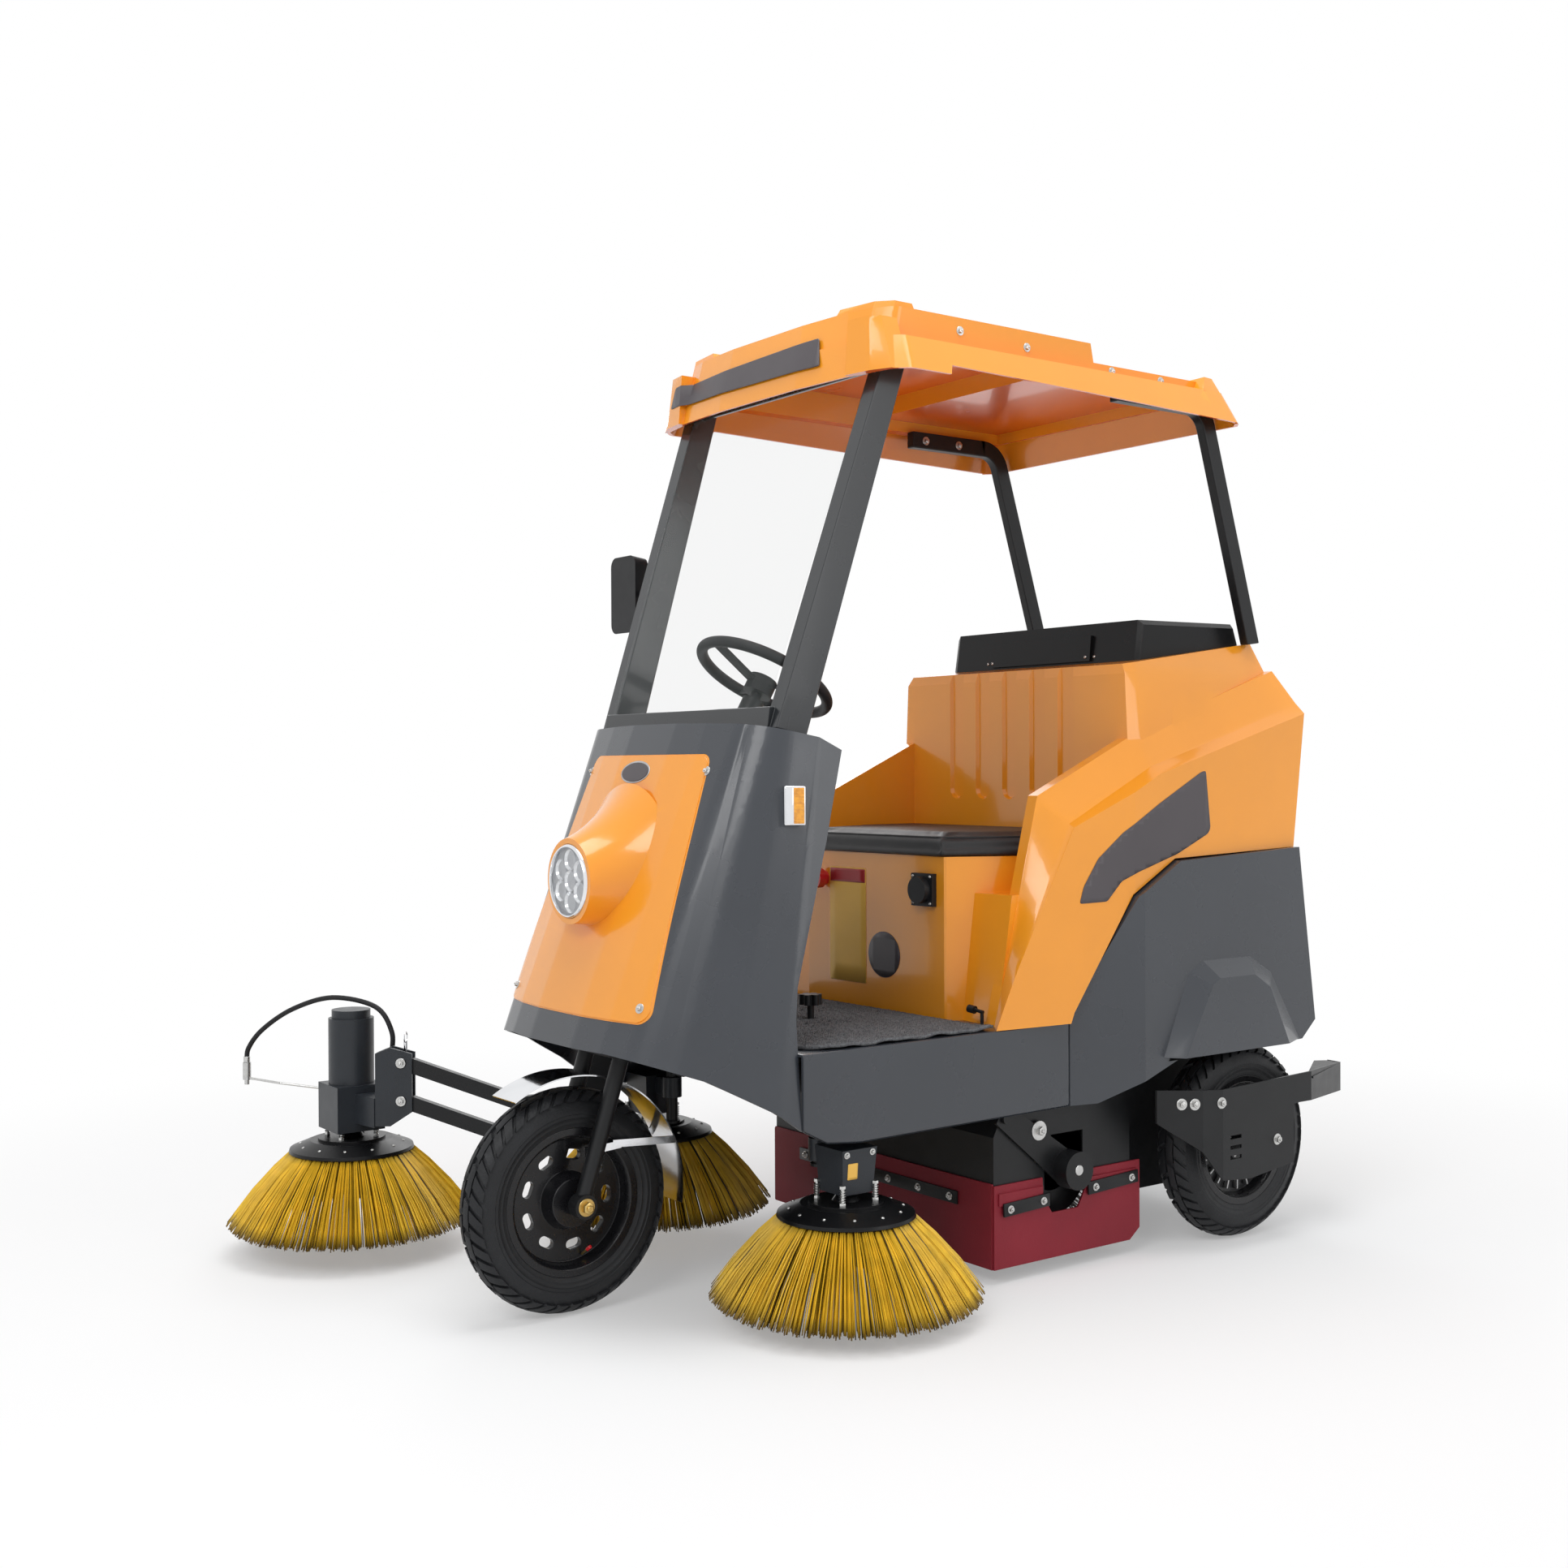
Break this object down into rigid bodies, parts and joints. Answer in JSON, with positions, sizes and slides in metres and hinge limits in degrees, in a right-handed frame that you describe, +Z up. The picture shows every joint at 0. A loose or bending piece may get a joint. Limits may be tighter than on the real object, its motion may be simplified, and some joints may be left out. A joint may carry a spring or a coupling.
{
  "type": "compact road sweeper",
  "caption": "Ride-on electric street sweeper with a canopy and windscreen, side and front disc brushes, a main roller, a rear dust box and an orange and grey moulded body.",
  "frame": {"origin": "point on the ground, on the centre line, straight below the front wheel's axle", "axes": "+Z up, +Y to the rear of the machine, +X to the machine's left"},
  "size_m": [1.7178, 2.4794, 2.1639],
  "materials": {
    "orange_cover": "smooth gloss",
    "slate_cover": "satin gloss",
    "carpet": "felted pile",
    "black_steel": "satin",
    "black_plastic": "fine grain",
    "vinyl": "grained vinyl",
    "battery_case": "plain",
    "clear_screen": "clear",
    "tyre_rubber": "matte",
    "rim_black": "satin",
    "bright_steel": "polished",
    "lamp_lens": "clear over reflectors",
    "tail_red": "lens",
    "indicator_amber": "lens",
    "stop_red": "smooth",
    "flap_red": "matte",
    "motor_grey": "satin",
    "bristle_yellow": "drawn filament",
    "roller_bristle": "drawn filament",
    "hose_rubber": "smooth"
  },
  "bodies": {
    "chassis": {"chassis_frame": "black_steel", "front_cowl": "slate_cover", "front_panel": "orange_cover", "headlamp": "lamp_lens", "floor_tub": "slate_cover", "floor_mat": "carpet", "rear_skirts": "slate_cover", "rear_body": "orange_cover", "seat_cushion": "vinyl", "battery_pack": "battery_case", "canopy": "orange_cover", "windscreen_frame": "black_steel", "windscreen": "clear_screen", "rear_struts": "black_steel", "mirror": "black_plastic", "steering_tube": "black_steel", "roller_housing": "black_steel", "rubber_flaps": "flap_red", "bin_rails": "black_steel", "wheel_guards": "black_steel", "rear_panel": "slate_cover", "tail_lamps": "tail_red", "indicators": "indicator_amber", "cowl_controls": "black_plastic", "floor_knob": "black_plastic", "floor_lever": "black_plastic", "seat_socket": "black_plastic", "stop_button": "stop_red", "guide_posts": "black_steel", "arm_bracket": "black_steel"},
    "fork": {"front_fork": "black_steel", "front_fender": "bright_steel"},
    "front_wheel": {"front_tyre": "tyre_rubber", "front_rim": "rim_black"},
    "rear_wheel_left": {"rear_tyre_left": "tyre_rubber", "rear_rim_left": "rim_black"},
    "rear_wheel_right": {"rear_tyre_right": "tyre_rubber", "rear_rim_right": "rim_black"},
    "steering": {"steering_wheel": "black_plastic"},
    "lid": {"hopper_lid": "black_plastic"},
    "bin": {"dust_bin": "black_plastic"},
    "roller_carrier": {"roller_arms": "black_steel"},
    "roller": {"main_roller": "roller_bristle"},
    "side_lift_left": {"side_motor_left": "motor_grey"},
    "side_brush_left": {"side_disc_left": "black_plastic", "side_bristles_left": "bristle_yellow"},
    "side_lift_right": {"side_motor_right": "motor_grey"},
    "side_brush_right": {"side_disc_right": "black_plastic", "side_bristles_right": "bristle_yellow"},
    "lower_link": {"lower_arm": "black_steel"},
    "upper_link": {"upper_arm": "black_steel"},
    "arm_head": {"brush_head": "motor_grey", "spray_nozzle": "black_plastic", "spray_hose": "hose_rubber"},
    "front_brush": {"front_disc": "black_plastic", "front_bristles": "bristle_yellow"}
  },
  "joints": [
    {"name": "fork_steer", "type": "hinge", "parent": "chassis", "child": "fork", "pos_m": [0, 0, 0.24], "axis": [0, 0.309, 0.9511], "range_deg": [-40, 40]},
    {"name": "steering_wheel_turn", "type": "hinge", "parent": "chassis", "child": "steering", "pos_m": [0, 0.53, 1.366], "axis": [0, 0.4982, 0.8671], "range_deg": [-40, 40]},
    {"name": "front_wheel_spin", "type": "hinge", "parent": "fork", "child": "front_wheel", "pos_m": [0, 0, 0.24], "axis": [1, 0, 0], "continuous": true},
    {"name": "rear_wheel_left_spin", "type": "hinge", "parent": "chassis", "child": "rear_wheel_left", "pos_m": [0.443, 1.626, 0.24], "axis": [1, 0, 0], "continuous": true},
    {"name": "rear_wheel_right_spin", "type": "hinge", "parent": "chassis", "child": "rear_wheel_right", "pos_m": [-0.443, 1.626, 0.24], "axis": [1, 0, 0], "continuous": true},
    {"name": "lid_hinge", "type": "hinge", "parent": "chassis", "child": "lid", "pos_m": [0, 1.792, 1.488], "axis": [-1, 0, 0], "range_deg": [0, 60]},
    {"name": "bin_slide", "type": "slide", "parent": "chassis", "child": "bin", "axis": [0, 1, 0], "range_m": [0, 0.42]},
    {"name": "roller_lift", "type": "hinge", "parent": "chassis", "child": "roller_carrier", "pos_m": [0, 0.885, 0.372], "axis": [-1, 0, 0], "range_deg": [0, 4.5]},
    {"name": "roller_spin", "type": "hinge", "parent": "roller_carrier", "child": "roller", "pos_m": [0, 1.077, 0.235], "axis": [1, 0, 0], "continuous": true},
    {"name": "side_lift_left_slide", "type": "slide", "parent": "chassis", "child": "side_lift_left", "axis": [0, 0, 1], "range_m": [0, 0.05]},
    {"name": "side_lift_right_slide", "type": "slide", "parent": "chassis", "child": "side_lift_right", "axis": [0, 0, 1], "range_m": [-0.05, 0]},
    {"name": "side_brush_left_spin", "type": "hinge", "parent": "side_lift_left", "child": "side_brush_left", "pos_m": [0.386, 0.46, 0.25], "axis": [0, 0, 1], "continuous": true},
    {"name": "side_brush_right_spin", "type": "hinge", "parent": "side_lift_right", "child": "side_brush_right", "pos_m": [-0.386, 0.46, 0.3], "axis": [0, 0, 1], "continuous": true},
    {"name": "arm_lift", "type": "hinge", "parent": "chassis", "child": "lower_link", "pos_m": [-0.33, 0.24, 0.29], "axis": [-0.7831, 0.6219, 0], "range_deg": [-4, 22]},
    {"name": "upper_link_turn", "type": "hinge", "parent": "chassis", "child": "upper_link", "pos_m": [-0.33, 0.24, 0.38], "axis": [-0.7831, 0.6219, 0], "range_deg": [-4, 22]},
    {"name": "head_turn", "type": "hinge", "parent": "lower_link", "child": "arm_head", "pos_m": [-0.6, -0.1, 0.375], "axis": [-0.7831, 0.6219, 0], "range_deg": [-22, 4]},
    {"name": "front_brush_spin", "type": "hinge", "parent": "arm_head", "child": "front_brush", "pos_m": [-0.765, -0.16, 0.27], "axis": [0, 0, 1], "continuous": true}
  ],
  "couplings": [
    {"joint": "steering_wheel_turn", "follows": "fork_steer", "ratio": 1},
    {"joint": "upper_link_turn", "follows": "arm_lift", "ratio": 1},
    {"joint": "head_turn", "follows": "arm_lift", "ratio": -1}
  ]
}
